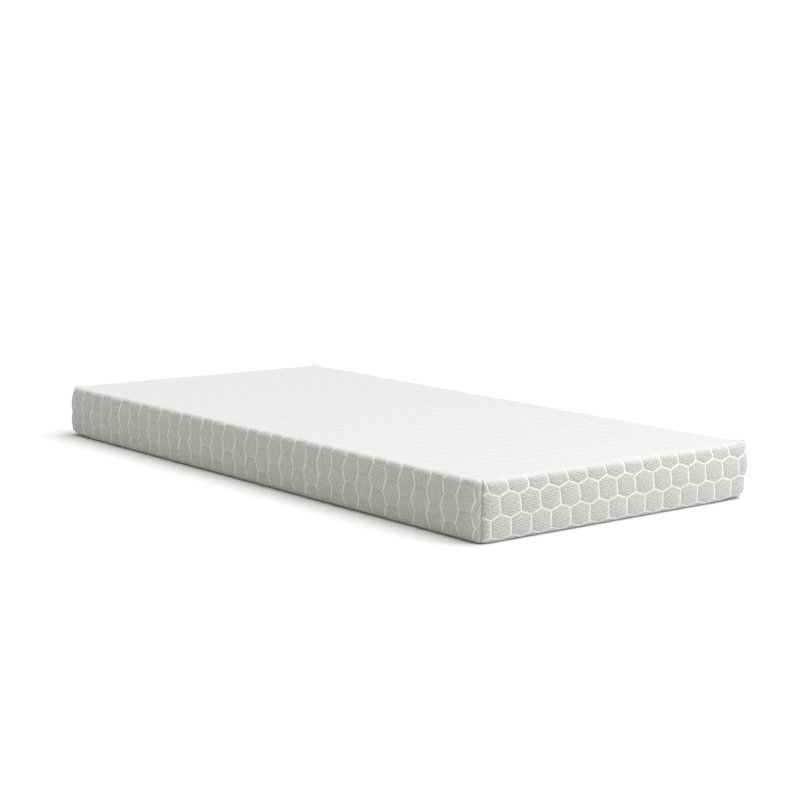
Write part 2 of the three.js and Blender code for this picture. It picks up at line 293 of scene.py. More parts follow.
TIP = ROW_PITCH - LONG_EDGE / 2
HEXAGON = np.array(
    [
        (LONG_EDGE / 2, CELL_PITCH / 2),
        (TIP, 0),
        (LONG_EDGE / 2, -CELL_PITCH / 2),
        (-LONG_EDGE / 2, -CELL_PITCH / 2),
        (-TIP, 0),
        (-LONG_EDGE / 2, CELL_PITCH / 2),
    ]
)
STEPS = 6 * PER_SIDE


def cell_mesh():
    """One cell's vertices, as offsets from its middle, and its faces."""
    rim = [
        HEXAGON[k] + (HEXAGON[(k + 1) % 6] - HEXAGON[k]) * s / PER_SIDE
        for k in range(6)
        for s in range(PER_SIDE)
    ]
    points = [np.zeros(2)] + [ring * p for ring in RINGS[1:] for p in rim]
    faces = [(0, 1 + (s + 1) % STEPS, 1 + s) for s in range(STEPS)]
    for r in range(len(RINGS) - 2):
        inner, outer = 1 + r * STEPS, 1 + (r + 1) * STEPS
        for s in range(STEPS):
            n = (s + 1) % STEPS
            faces.append((inner + s, inner + n, outer + n, outer + s))
    return np.array(points), faces


def cell_middles(low, high):
    """The middles of all cells that may reach into the box from low to high."""
    rows = range(int((low[0] - FIRST_ROW) / ROW_PITCH) - 2, int((high[0] - FIRST_ROW) / ROW_PITCH) + 3)
    cells = range(int(low[1] / CELL_PITCH) - 3, int(high[1] / CELL_PITCH) + 3)
    return np.array(
        [
            (FIRST_ROW + i * ROW_PITCH, FIRST_CELL + (j + 0.5 * (i % 2)) * CELL_PITCH)
            for i in rows
            for j in cells
        ]
    )


def locate(p, q):
    """For each point: its cell (row, column), how near its quilting line it is, and its place
    around the cell in steps."""
    best = np.full(np.shape(p), 9.0)
    found = [np.zeros(np.shape(p), int) for _ in range(2)]
    around = np.zeros(np.shape(p))
    row0 = np.round((p - FIRST_ROW) / ROW_PITCH).astype(int)
    for dr in (-1, 0, 1):
        row = row0 + dr
        shift = FIRST_CELL + 0.5 * CELL_PITCH * (row % 2)
        column = np.round((q - shift) / CELL_PITCH).astype(int)
        dp, dq = p - FIRST_ROW - row * ROW_PITCH, q - shift - column * CELL_PITCH
        for k in range(6):
            start, end = HEXAGON[k], HEXAGON[(k + 1) % 6]
            side = end - start
            normal = np.array((side[1], -side[0])) / np.linalg.norm(side)
            reach = float(normal @ start)
            normal, reach = (normal, reach) if reach > 0 else (-normal, -reach)
            nearness = (dp * normal[0] + dq * normal[1]) / reach
            if k == 0:
                most, place = nearness.copy(), np.zeros(np.shape(p))
            scale = 1 / np.maximum(nearness, 1e-6)
            share = ((dp * scale - start[0]) * side[0] + (dq * scale - start[1]) * side[1]) / (
                side @ side
            )
            here = nearness >= most
            most = np.where(here, nearness, most)
            place = np.where(here, PER_SIDE * (k + np.clip(share, 0, 1)), place)
        better = most < best
        best = np.where(better, most, best)
        found = [np.where(better, new, old) for new, old in zip((row, column), found)]
        around = np.where(better, place, around)
    return found[0], found[1], np.clip(best, 0, 1), around


def inflate_cells():
    """Cloth simulation of a few cells, pinned along their quilting lines and blown up from below.
    Returns offsets [variant, ring, step, axis], with a crown height of about 1."""
    points, faces = cell_mesh()
    scale = 10  # simulated ten times larger, where the solver is steadier
    draw = random.Random(SEED)
    vertices, all_faces = [], []
    for v in range(VARIANTS):
        first = len(vertices)
        for p in points:
            lift = draw.uniform(0, 0.4 * MM)
            vertices.append((scale * (p[0] + v * 2 * CELL_PITCH), scale * p[1], scale * lift))
        all_faces += [tuple(first + k for k in f) for f in faces]
    rest = np.array(vertices)
    patch = make_object("cell_patch", vertices, all_faces)
    pin = patch.vertex_groups.new(name="pin")
    per_cell = len(points)
    rim = [v * per_cell + k for v in range(VARIANTS) for k in range(per_cell - STEPS, per_cell)]
    pin.add(rim, 1, "REPLACE")
    cloth = patch.modifiers.new("cloth", "CLOTH")
    settings = cloth.settings
    settings.quality = 8
    settings.mass = 0.4
    settings.tension_stiffness = settings.compression_stiffness = 12
    settings.bending_stiffness = 0.8
    settings.vertex_group_mass = "pin"
    settings.shrink_min = -0.03
    settings.use_pressure = True
    settings.uniform_pressure_force = 4
    settings.effector_weights.gravity = 0
    cloth.point_cache.frame_start, cloth.point_cache.frame_end = 1, 20
    for number in range(1, 21):
        bpy.context.scene.frame_set(number)
    shown = patch.evaluated_get(bpy.context.evaluated_depsgraph_get())
    moved = np.array([v.co for v in shown.data.vertices]) - rest
    bpy.context.scene.frame_set(1)
    bpy.data.objects.remove(patch)
    moved = moved.reshape(VARIANTS, per_cell, 3)
    if moved[:, 0, 2].mean() < 0:
        moved[:, :, 2] *= -1
    table = np.zeros((VARIANTS, len(RINGS), STEPS, 3))
    table[:, 0] = moved[:, :1]
    table[:, 1:] = moved[:, 1:].reshape(VARIANTS, len(RINGS) - 1, STEPS, 3)
    return table / table[:, 0, 0, 2].mean()


def puff_at(table, p, q):
    """Offsets of the inflated cloth at points of the pattern plane, their nearness to a quilting
    line, and 1 where that line runs along the mattress."""
    row, column, near, around = locate(p, q)
    variant = (row * 7919 + column * 104729 + row * column * 31) % VARIANTS
    r = np.clip(np.searchsorted(RINGS, near, side="right") - 1, 0, len(RINGS) - 2)
    t = ((near - RINGS[r]) / (RINGS[r + 1] - RINGS[r]))[..., None]
    s0 = np.floor(around).astype(int)
    u = (around - s0)[..., None]
    s0, s1 = s0 % STEPS, (s0 + 1) % STEPS
    inner = table[variant, r, s0] * (1 - u) + table[variant, r, s1] * u
    outer = table[variant, r + 1, s0] * (1 - u) + table[variant, r + 1, s1] * u
    level_line = (np.floor_divide(around, PER_SIDE) % 3 == 2).astype(float)
    return inner * (1 - t) + outer * t, near, level_line


# ---------- the cover ----------
def cut(bm, faces, point, normal, accept=None, clear=False):
    """Cuts faces along a line of the flat cloth, where accept() takes their middles. Returns the
    faces with those that the cut made."""
    # Dictionaries, because they keep their order from run to run and sets don't.
    chosen = dict.fromkeys(f for f in faces if accept is None or accept(f.calc_center_median()))
    edges = dict.fromkeys(e for f in chosen for e in f.edges)
    verts = dict.fromkeys(v for f in chosen for v in f.verts)
    made = bmesh.ops.bisect_plane(
        bm,
        geom=[*chosen, *edges, *verts],
        dist=0.05 * MM,
        plane_co=(*point, 0),
        plane_no=(*normal, 0),
        clear_outer=clear,
    )
    kept = [f for f in faces if f not in chosen]
    return kept + [g for g in made["geom"] if isinstance(g, bmesh.types.BMFace) and g.is_valid]


def add_cells(bm, cells, x, y):
    """Adds the cells' faces. x and y hold each cell's points, in rows."""
    _, faces = cell_mesh()
    for m in cells:
        verts = [bm.verts.new((px, py, 0)) for px, py in zip(x[m], y[m])]
        for f in faces:
            bm.faces.new([verts[k] for k in f])


def flat_cloth():
    """The flat honeycomb, cut to the cover's outline, in flat (x, y)."""
    reach = HEIGHT + WRAP
    low = (-reach - TIP, -reach - CELL_PITCH)
    high = (2 * HALF_LENGTH + reach, 2 * HALF_WIDTH + reach)
    middles = cell_middles(low, high)
    points, _ = cell_mesh()
    pattern = middles[:, None, :] + points[None, :, :]
    x, y = from_pattern(pattern[..., 0], pattern[..., 1])
    top = (np.abs(x) < HALF_LENGTH - 2 * EDGE) & (np.abs(y) < HALF_WIDTH - 2 * EDGE)
    cloth = (np.abs(x) < HALF_LENGTH + reach) & (np.abs(y) < HALF_WIDTH + reach)
    on_top, on_cloth = top.all(axis=1), cloth.any(axis=1)

    bm = bmesh.new()
    add_cells(bm, np.flatnonzero(on_cloth & ~on_top), x, y)
    bmesh.ops.remove_doubles(bm, verts=bm.verts, dist=0.05 * MM)
    for sign in (-1, 1):
        cut(bm, bm.faces[:], (sign * (HALF_LENGTH + reach), 0), (sign, 0), clear=True)
        cut(bm, bm.faces[:], (0, sign * (HALF_WIDTH + reach)), (0, sign), clear=True)
    for sign in (-1, 1):
        cut_folds(bm, sign)
    for sx in (-1, 1):
        for sy in (-1, 1):
            cut_corner(bm, sx, sy)
    cut_zip_slot(bm)
    add_cells(bm, np.flatnonzero(on_top), x, y)
    bmesh.ops.remove_doubles(bm, verts=bm.verts, dist=0.05 * MM)
    return bm


FOLDS = [EDGE * k for k in (1, 0.45, -0.1, -0.6)] + [
    -HEIGHT + LOW_EDGE * k for k in (1, 0.4, -0.3, -1)
]


def cut_folds(bm, sign):
    """Extra lines of vertices along the rounded edges."""
    near = 12 * MM
    sides = ((0, HALF_LENGTH, HALF_WIDTH), (1, HALF_WIDTH, HALF_LENGTH))
    for axis, half, other_half in sides:
        faces = [f for f in bm.faces if sign * f.calc_center_median()[axis] > half - 2 * EDGE]
        for down in FOLDS:
            place = sign * (half - down)

            def beside_line(c):
                return abs(c[axis] - place) < near and abs(c[1 - axis]) < other_half

            direction = (1 - axis, axis)
            point = (place * direction[0], place * direction[1])
            faces = cut(bm, faces, point, direction, beside_line)


BESIDE_SEAM = [0, 1.6 * MM, 4 * MM, 8 * MM, 13 * MM]


def cut_corner(bm, sx, sy):
    """Cuts away the cloth beyond the corner seam, and adds lines of vertices beside the seam."""

    def local(c):
        return HALF_LENGTH - sx * c.x, HALF_WIDTH - sy * c.y

    def near_corner(f):
        a, b = local(f.calc_center_median())
        return a < 2 * EDGE and b < 2 * EDGE

    def upper(down):
        return abs(down) < EDGE + 10 * MM

    faces = [f for f in bm.faces if near_corner(f)]
    for beside in BESIDE_SEAM:
        end_line = (sx * (HALF_LENGTH + EDGE), sy * (HALF_WIDTH - beside))
        faces = cut(bm, faces, end_line, (-sx * 0.5, -sy), lambda c: upper(local(c)[0]))
        side_line = (sx * (HALF_LENGTH - beside), sy * (HALF_WIDTH + EDGE))
        faces = cut(bm, faces, side_line, (-sx, -sy * 0.5), lambda c: upper(local(c)[1]))
        end_edge, side_edge = (0, sy * (HALF_WIDTH - beside)), (sx * (HALF_LENGTH - beside), 0)
        faces = cut(bm, faces, end_edge, (0, sy), lambda c: local(c)[0] < 0)
        faces = cut(bm, faces, side_edge, (sx, 0), lambda c: local(c)[1] < 0)

    def beyond(c):
        a, b = local(c)
        return b < seam_place(a) - 1e-6 and a < seam_place(b) - 1e-6

    gone = [f for f in faces if beyond(f.calc_center_median())]
    bmesh.ops.delete(bm, geom=gone, context="FACES")


def cut_zip_slot(bm):
    """The rear side ends above the zip, between the corners."""
    edge = SLOT_TOP
    faces = [f for f in bm.faces if f.calc_center_median().y > edge - 2 * EDGE]
    faces = cut(bm, faces, (0, edge), (0, 1))
    for sx in (-1, 1):
        faces = cut(bm, faces, (sx * PANEL_HALF_LENGTH, 0), (1, 0), lambda c: c.y > edge)

    def in_slot(c):
        return c.y > edge and abs(c.x) < PANEL_HALF_LENGTH

    gone = [f for f in faces if in_slot(f.calc_center_median())]
    bmesh.ops.delete(bm, geom=gone, context="FACES")


def seam_distance(x, y):
    """How far along the cloth a flat point is from the nearest corner seam."""
    a, b = HALF_LENGTH - np.abs(x), HALF_WIDTH - np.abs(y)
    down, along = np.minimum(a, b), np.maximum(a, b)
    apart = np.hypot(a - EDGE, b - EDGE)
    return np.where(down > EDGE, apart, np.maximum(along - seam_place(down), 0))


def slot_distance(x, y):
    """How far along the cloth a flat point is from the slot for the zip."""
    above = SLOT_TOP - y
    return np.hypot(np.maximum(above, 0), np.maximum(np.abs(x) - PANEL_HALF_LENGTH, 0))


def gather(x, y, height):
    """How deep the seams pull the cloth in: a narrow groove, and a wider, puckered tuck."""
    seam = seam_distance(x, y)
    down = np.minimum(HALF_LENGTH - np.abs(x), HALF_WIDTH - np.abs(y))
    pucker = 1 + 0.35 * np.sin(math.tau * height / (11 * MM) + 2 * np.sin(height / (9 * MM)))
    corner = GROOVE * bell(seam, 1.6 * MM) + TUCK * bell(seam, 6 * MM) * pucker
    corner = corner * smooth(EDGE, EDGE - 10 * MM, down)
    return corner + UNDER_GROOVE * bell(down + HEIGHT + WRAP, 3 * MM)


def turn_in(points, inwards, triangles):
    """Adds the hem: rows of cloth turned inwards along every open edge. Returns the points, the new
    faces and, for each point, the one that it came from."""
    source = list(range(len(points)))
    edges = {}
    for a, b, c in triangles:
        for edge in ((a, b), (b, c), (c, a)):
            if edges.pop((edge[1], edge[0]), None) is None:
                edges[edge] = True
    points = [tuple(p) for p in points]
    faces = []
    row = {v: v for edge in edges for v in edge}
    for depth in HEM:
        new = {}
        for first, last in row.items():
            new[first] = len(points)
            points.append(tuple(np.array(points[first]) + inwards[first] * depth))
            source.append(first)
        faces += [(row[b], row[a], new[a], new[b]) for a, b in edges]
        row = new
    return np.array(points), faces, np.array(source)


def into_corner(x, y):
    """The way to turn the hem in at a corner seam."""
    return unit(np.stack([-np.sign(x), -np.sign(y), np.full(len(x), -0.8)], axis=-1))


def make_cover():
    bm = flat_cloth()
    bmesh.ops.triangulate(bm, faces=bm.faces)
    mesh = bpy.data.meshes.new("cover_flat")
    bm.to_mesh(mesh)
    bm.free()
    x, y, _ = points_of(mesh).T
    p, q = to_pattern(x, y)
    offset, near, level_line = puff_at(inflate_cells(), p, q)
    gathered = bell(seam_distance(x, y), 7 * MM)
    base = fold(x - PUFF * offset[:, 0] * (1 - gathered), y + PUFF * offset[:, 1] * (1 - gathered))
    set_points(mesh, base)
    normals = normals_of(mesh)
    if normals[np.argmin(np.hypot(x, y))][2] < 0:
        mesh.flip_normals()
        normals = -normals

    height = base[:, 2]
    pressed = smooth(0, PRESSED, height)
    down = np.minimum(HALF_LENGTH - np.abs(x), HALF_WIDTH - np.abs(y))
    side = smooth(0.8 * EDGE, -0.7 * EDGE, down)
    puff = TOP_PUFF + (PUFF - TOP_PUFF) * side
    free = (1 - 0.95 * gathered) * smooth(1 * MM, 14 * MM, slot_distance(x, y))
    lift = puff * offset[:, 2] * pressed * free - SINK * pressed
    uneven = 0.7 * ripple(x, y, 0.5, SEED) + 0.35 * (0.3 + 0.7 * side) * ripple(x, y, 0.16, SEED + 1)
    lift += uneven * MM * pressed * free
    final = settle(base + normals * (lift - gather(x, y, height))[:, None])
    final[:, 2] = np.maximum(final[:, 2], OFF_FLOOR)
    set_points(mesh, final)

    at_seam = seam_distance(x, y) < 1 * MM
    inwards = np.where(at_seam[:, None], into_corner(x, y), -normals_of(mesh))
    triangles = [tuple(f.vertices) for f in mesh.polygons]
    bpy.data.meshes.remove(mesh)
    points, hem, source = turn_in(final, inwards, triangles)
    points[:, 2] = np.maximum(points[:, 2], OFF_FLOOR)
    piece = make_object("cover_knit", points, triangles + hem)
    long_side = smooth(0, -EDGE, HALF_WIDTH - np.abs(y)) * (np.abs(x) < HALF_LENGTH)
    # painted shade: the quilting lines that run along the long sides are drawn less pale than the upright
    # ones, for the side light that they don't catch
    line = near - 0.07 * level_line * long_side
    add_attribute(piece.data, "line", line[source])
    add_attribute(piece.data, "side", side[source])
    add_uv(piece.data, "cloth", np.stack([p, q], axis=-1)[source])
    shade_smooth(piece)
    return piece


def on_cover(x, y):
    """Points on the cover between its puffed cells, and the outward directions."""
    step = 0.5 * MM
    base = fold(x, y)
    across = fold(x + step, y) - fold(x - step, y)
    along = fold(x, y + step) - fold(x, y - step)
    outward = unit(np.cross(across, along))
    height = base[:, 2]
    lift = -SINK * smooth(0, PRESSED, height) - gather(x, y, height)
    return settle(base + outward * lift[:, None]), outward


# ---------- the base panel ----------
PANEL_FLOOR = HALF_WIDTH - SINK - LOW_EDGE - PANEL_FRONT  # length of cloth on the floor
PANEL_TURN = LOW_EDGE * math.pi / 2  # then round the rear edge
PANEL_LENGTH = PANEL_FLOOR + PANEL_TURN + BASE_HIGH.z - OFF_FLOOR - LOW_EDGE


def on_panel(x, s):
    """Points on the base panel, s along the cloth from its front edge: back along the floor, round
    the rear edge and up to the zip."""
    turn = np.clip((s - PANEL_FLOOR) / LOW_EDGE, 0, math.pi / 2)
    rise = np.maximum(s - PANEL_FLOOR - PANEL_TURN, 0)
    to_edge = np.minimum(PANEL_HALF_LENGTH - np.abs(x), s)
    loose = 0.65 * (1 + ripple(x, s, 0.3, SEED + 2)) + 0.3 * (1 + ripple(x, 2.5 * s, 0.13, SEED + 9))
    around = np.where(PANEL_HALF_LENGTH - np.abs(x) < s, s, x)
    pucker = 0.35 * (1 + np.sin(math.tau * around / (26 * MM))) * np.exp(-to_edge / (22 * MM))
    slack = MM * (loose * smooth(0, 45 * MM, to_edge) + pucker * smooth(0, 6 * MM, to_edge))
    inset = UNDER_GROOVE * bell(to_edge, 3 * MM) + slack * (turn < 0.01)
    radius = LOW_EDGE - inset
    y = np.minimum(PANEL_FRONT + s, PANEL_FRONT + PANEL_FLOOR) + radius * np.sin(turn)
    z = OFF_FLOOR + LOW_EDGE - radius * np.cos(turn) + rise
    return settle(np.stack([x, y, z], axis=-1))




def lines_between(low, high, step, fine=()):
    """Places from low to high, about a step apart, with extra ones at these distances inside."""
    regular = np.linspace(low, high, max(2, round((high - low) / step) + 1))
    extra = [low + d for d in fine] + [high - d for d in fine]
    return np.unique(np.round(np.concatenate([regular, extra]), 7))


def make_base_panel():
    fine = [1.5 * MM, 3 * MM, 5 * MM]
    x = lines_between(-PANEL_HALF_LENGTH, PANEL_HALF_LENGTH, 12 * MM, fine)
    turns = PANEL_FLOOR + PANEL_TURN * np.linspace(1, 0, 7)
    s = lines_between(0, PANEL_LENGTH, 12 * MM, fine)
    s = np.unique(np.round(np.concatenate([s, turns]), 7))
    flat_x, flat_s = (values.ravel() for values in np.meshgrid(x, s, indexing="ij"))
    points = on_panel(flat_x, flat_s)
    triangles = []
    for a, next_a, next_b, b in grid_faces(len(x), len(s)):
        triangles += [(a, next_a, b), (b, next_a, next_b)]
    draft = make_object("panel_draft", points, triangles)
    normals = normals_of(draft.data)
    bpy.data.objects.remove(draft)
    points, hem, source = turn_in(points, -normals, triangles)
    points[:, 2] = np.maximum(points[:, 2], 0.3 * MM)
    panel = make_object("base_panel_knit", points, triangles + hem)
    add_uv(panel.data, "cloth", np.stack([flat_x, flat_s], axis=-1)[source])
    shade_smooth(panel)
    return panel


# ---------- thread ----------
def make_tubes(name, paths, radius, sides=4, across=None):
    """One mesh of many round threads with closed ends. All paths have the same number of points."""
    paths = np.array(paths, float)
    count, steps = paths.shape[:2]
    ahead = unit(np.gradient(paths, axis=1))
    if across is None:
        across = np.eye(3)[np.argmin(np.abs(ahead.mean(axis=1)), axis=1)][:, None, :]
    aside = unit(np.cross(ahead, across))[:, :, None, :]
    up = np.cross(aside, ahead[:, :, None, :])
    turn = (math.tau * np.arange(sides) / sides)[:, None]
    rings = paths[:, :, None, :] + radius * (np.cos(turn) * aside + np.sin(turn) * up)
    faces = [f for c in range(count) for f in tube_faces(c * steps * sides, steps, sides)]
    thread = make_object(name, rings.reshape(-1, 3), faces)
    shade_smooth(thread)
    return thread


def stitch_paths(starts, ends, outward, rise, bite=0.8 * MM):
    """A low arch of thread from each start to its end, with both ends in the cloth."""
    outward = np.broadcast_to(outward, starts.shape)
    return np.stack(
        [
            starts - outward * bite,
            starts * 0.85 + ends * 0.15 + outward * rise,
            (starts + ends) / 2 + outward * rise * 1.15,
            starts * 0.15 + ends * 0.85 + outward * rise,
            ends - outward * bite,
        ],
        axis=1,
    )


def corner_seam(sx, sy):
    """The overlock stitches that bridge a corner seam from side to side."""
    pitch, beside, slant = 3 * MM, 1.9 * MM, 0.8 * MM
    down = np.arange(EDGE - 3 * MM, -HEIGHT - WRAP + 3 * MM, -pitch)
    place = seam_place(down) + beside
    on_end, out_of_end = on_cover(sx * (HALF_LENGTH - down + slant), sy * (HALF_WIDTH - place))
    on_side, out_of_side = on_cover(sx * (HALF_LENGTH - place), sy * (HALF_WIDTH - down - slant))
    paths = stitch_paths(on_end, on_side, unit(out_of_end + out_of_side), 0.5 * MM)
    paths[..., 2] = np.maximum(paths[..., 2], 0.5 * MM)
    return paths


def make_corner_seams():
    places = {(1, -1): "front_right", (-1, -1): "front_left", (-1, 1): "rear_left", (1, 1): "rear_right"}
    made = {}
    for (sx, sy), place in places.items():
        made[place] = make_tubes("corner_stitches_" + place, corner_seam(sx, sy), 0.45 * MM, sides=5)
    return made


def make_underside_stitches():
    """The stitches that join the cover to the base panel, along the front and both ends."""
    pitch, beside, slant, clear, low = 3.5 * MM, 1.7 * MM, 0.8 * MM, 4 * MM, 0.9 * MM
    x = np.arange(-PANEL_HALF_LENGTH + clear, PANEL_HALF_LENGTH - clear, pitch)
    y = np.arange(PANEL_FRONT + clear, HALF_WIDTH - LOW_EDGE, pitch)
    starts = [np.stack(np.broadcast_arrays(x, PANEL_FRONT - beside, low), axis=-1)]
    ends = [np.stack(np.broadcast_arrays(x + slant, PANEL_FRONT + beside, low), axis=-1)]
    for sign in (-1, 1):
        outer, inner = (sign * (PANEL_HALF_LENGTH + away) for away in (beside, -beside))
        starts.append(np.stack(np.broadcast_arrays(outer, y, low), axis=-1))
        ends.append(np.stack(np.broadcast_arrays(inner, y + slant, low), axis=-1))
    starts, ends = np.concatenate(starts), np.concatenate(ends)
    paths = stitch_paths(starts, ends, np.array([0, 0, -1.0]), 0.3 * MM, 0.7 * MM)
    return make_tubes("underside_stitches", settle(paths.reshape(-1, 3)).reshape(paths.shape), 0.3 * MM)


def make_seam_tape():
    """The knitted tape that binds the seam inside, in a closed loop round the underside."""
    low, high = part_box("underside_seam_tape")
    half = PANEL_FRONT - low.y
    z = (low.z + high.z) / 2
    front, rear = PANEL_FRONT, high.y - half
    corners = [(PANEL_HALF_LENGTH, rear), (PANEL_HALF_LENGTH, front)]
    corners += [(-PANEL_HALF_LENGTH, front), (-PANEL_HALF_LENGTH, rear)]
    path, aside = [], []
    for (ax, ay), (bx, by) in zip(corners, corners[1:] + corners[:1]):
        run = math.hypot(bx - ax, by - ay)
        steps = np.linspace(0.02, 0.98, round(run / (9 * MM)))
        path.append(np.stack([ax + (bx - ax) * steps, ay + (by - ay) * steps], axis=-1))
        aside.append(np.tile(((by - ay) / run, -(bx - ax) / run), (len(steps), 1)))
    path, aside = np.concatenate(path), np.concatenate(aside)
    aside = unit(sum(np.roll(aside, k, axis=0) for k in (-1, 0, 1)))
    rings = []
    for w in np.linspace(-1, 1, 7):
        edge = path + aside * w * (half - 0.3 * MM)
        wavy = 0.18 * MM * ripple(edge[:, 0], edge[:, 1], 0.03, SEED + 3)
        rings.append(np.column_stack([edge, z + wavy + 0.2 * MM * (1 - w * w)]))
    faces = grid_faces(len(rings), len(path), around=True)
    tape = make_object("seam_binding_tape", settle(np.concatenate(rings)), faces)
    thicken(tape, 0.5 * MM, 0)
    shade_smooth(tape)
    return tape


def make_topstitch():
    """Two rows of stitches that hold the zip tapes, above and below the slot."""
    pitch, length, off_edge, rise = 3.2 * MM, 2.3 * MM, 3.5 * MM, 0.3 * MM
    x = np.arange(-PANEL_HALF_LENGTH + 6 * MM, PANEL_HALF_LENGTH - 6 * MM, pitch)
    above = np.full(len(x), SLOT_TOP - off_edge)
    below = np.full(len(x), PANEL_LENGTH - off_edge)
    starts, outward = on_cover(x, above)
    upper = stitch_paths(starts, on_cover(x + length, above)[0], outward, rise)
    back = np.array([0, 1.0, 0])
    lower = stitch_paths(on_panel(x, below), on_panel(x + length, below), back, rise)
    return make_tubes("zip_topstitch", np.concatenate([upper, lower]), 0.32 * MM)


# ---------- the label ----------
def lay_cloth(reach):
    """A sheet over a rough surface: it rests on the high places and spans the low ones."""
    surface = reach.copy()
    for _ in range(14):
        around = np.pad(surface, 1, mode="edge")
        mean = (around[:-2, 1:-1] + around[2:, 1:-1] + around[1:-1, :-2] + around[1:-1, 2:]) / 4
        surface = np.maximum(mean, reach)
    return surface


def make_label(cover):
    """A blank woven label that lies on the padded cloth, and the stitches round it."""
    low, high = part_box("care_label")
    thickness, inside, pitch, length = 0.35 * MM, 2.5 * MM, 2.8 * MM, 2 * MM
    tree = BVHTree.FromObject(cover, bpy.context.evaluated_depsgraph_get())
    xs, zs = np.linspace(low.x, high.x, 41), np.linspace(low.z, high.z, 31)

    def reach(x, z):
        return tree.ray_cast(Vector((x, HALF_WIDTH + 0.05, z)), Vector((0, -1, 0)))[0].y

    surface = lay_cloth(np.array([[reach(x, z) for z in zs] for x in xs]) + thickness)
    points = [(x, surface[i, j], z) for i, x in enumerate(xs) for j, z in enumerate(zs)]
    label = make_object("label_satin", points, grid_faces(len(xs), len(zs)))
    thicken(label, thickness, 1)
    shade_smooth(label)

    across = np.arange(low.x + inside, high.x - inside - length, pitch)
    upright = np.arange(low.z + inside, high.z - inside - length, pitch)
    runs = [((x, z), (x + length, z)) for z in (low.z + inside, high.z - inside) for x in across]
    runs += [((x, z), (x, z + length)) for x in (low.x + inside, high.x - inside) for z in upright]

    def on_label(x, z):
        i = np.clip(round((x - low.x) / (xs[1] - xs[0])), 0, len(xs) - 1)
        j = np.clip(round((z - low.z) / (zs[1] - zs[0])), 0, len(zs) - 1)
        return (x, surface[i, j] + thickness, z)

    starts, ends = (np.array([on_label(*run[k]) for run in runs]) for k in (0, 1))
    paths = stitch_paths(starts, ends, np.array([0, 1.0, 0]), 0.25 * MM)
    return label, make_tubes("label_stitches", paths, 0.26 * MM)


# ---------- the zip ----------
def make_zip_tape(name, node):
    """A woven tape with a beaded selvedge at both edges."""
    low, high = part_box(node)
    bead = 1.375  # the selvedge's thickness against the tape's: what passes 1 is at the back
    half_loop = [(0, 0.5), (0.02, 1), (0.07, bead), (0.14, 0.9), (0.5, 0.92)]
    half_loop += [(1 - u, v) for u, v in reversed(half_loop[:-1])]
    loop = np.array(half_loop + [(u, 1 - v) for u, v in reversed(half_loop[1:-1])])
    x = lines_between(low.x, high.x, 5 * MM)[:, None]
    sway = 0.03 * MM * ripple(x, np.full_like(x, low.z), 0.12, SEED + 4)
    y = low.y + 0.92 * (high.y - low.y) * np.minimum(loop[:, 1], 1) + sway
    z = low.z + (high.z - low.z) * loop[:, 0]
    return loft(name, np.stack(np.broadcast_arrays(x, y, z), axis=-1))


def loft(name, rings):
    """Closed loops joined one after another, with both ends closed."""
    piece = make_object(name, rings.reshape(-1, 3), tube_faces(0, *rings.shape[:2]))
    bm = bmesh.new()
    bm.from_mesh(piece.data)
    bmesh.ops.recalc_face_normals(bm, faces=bm.faces)
    bm.to_mesh(piece.data)
    bm.free()
    shade_smooth(piece)
    return piece


def make_zip_coil(name, node, sign):
    """A nylon coil. Its loops reach past the middle of the zip, between those of the other coil."""
    low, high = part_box(node)
    wire, pitch, steps = 0.42 * MM, 2.4 * MM, 8
    outer = high.z if sign > 0 else low.z
    inner = ZIP_Z - sign * 0.55 * MM
    middle, half = (outer + inner) / 2, abs(outer - inner) / 2 - wire
    turns = int((high.x - low.x - 2 * wire) / pitch)
    t = np.arange(turns * steps + 1) / steps
    turn = math.tau * t
    x = low.x + wire + pitch * (t + (0.5 if sign > 0 else 0)) * (1 - 0.5 / turns)
    y = (low.y + high.y) / 2 + ((high.y - low.y) / 2 - wire) * np.sin(turn)
    z = middle + half * np.cos(turn)
    path = np.stack([x, y, z], axis=-1)[None]
    return make_tubes(name, path, wire, sides=5, across=np.array([1.0, 0, 0]))


